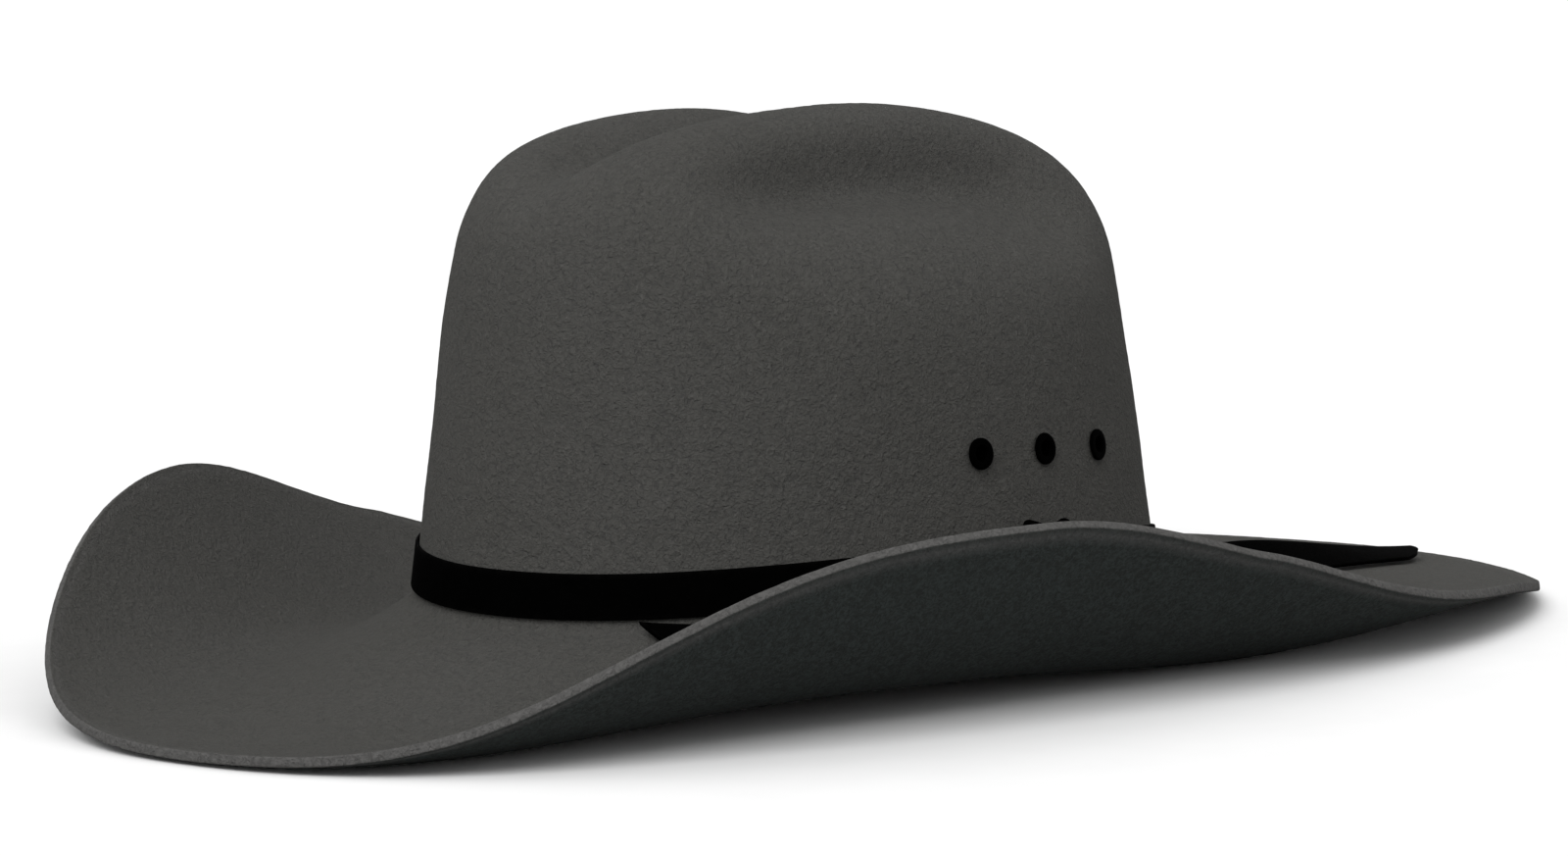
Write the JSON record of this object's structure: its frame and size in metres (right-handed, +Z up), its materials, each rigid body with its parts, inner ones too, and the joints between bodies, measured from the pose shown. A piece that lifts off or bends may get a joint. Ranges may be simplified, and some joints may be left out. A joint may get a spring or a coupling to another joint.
{
  "type": "cowboy hat",
  "caption": "Wool-felt western hat with a creased cattleman crown, a brim curled up at the sides, vent eyelets, and a flat black hatband knotted at the side.",
  "frame": {"origin": "on the table under the middle of the hat, at the centre of the brim's outline", "axes": "+Z up out of the crown, -Y towards the front of the hat, +X towards the wearer's left"},
  "size_m": [0.3157, 0.4363, 0.1415],
  "materials": {
    "felt": "charcoal grey wool felt, brushed nap, raw cut edge",
    "band": "matt black, fine grain",
    "eyelet": "black enamel, semi-matt",
    "washer": "plain pressed washer",
    "sweatband": "dark thin leather, satin",
    "reed": "natural plastic reed",
    "tape": "woven cotton tape",
    "bow": "narrow satin ribbon",
    "label": "woven label, no lettering"
  },
  "bodies": {
    "hat": {"felt_body": "felt", "eyelet_left_front": "eyelet", "eyelet_left_middle": "eyelet", "eyelet_left_rear": "eyelet", "eyelet_right_front": "eyelet", "eyelet_right_middle": "eyelet", "eyelet_right_rear": "eyelet", "eyelet_washer_left_front": "washer", "eyelet_washer_left_middle": "washer", "eyelet_washer_left_rear": "washer", "eyelet_washer_right_front": "washer", "eyelet_washer_right_middle": "washer", "eyelet_washer_right_rear": "washer", "sweatband": "sweatband", "sweatband_reed": "reed", "sweatband_seam_tape": "tape", "sweatband_bow": "bow", "size_label": "label"},
    "hatband_set": {"hatband": "band", "hatband_knot": "band", "hatband_tail_front": "band", "hatband_tail_rear": "band"}
  },
  "joints": [
    {"name": "hatband_lift", "type": "slide", "parent": "hat", "child": "hatband_set", "axis": [0, 0, 1], "range_m": [0, 0.14]}
  ]
}
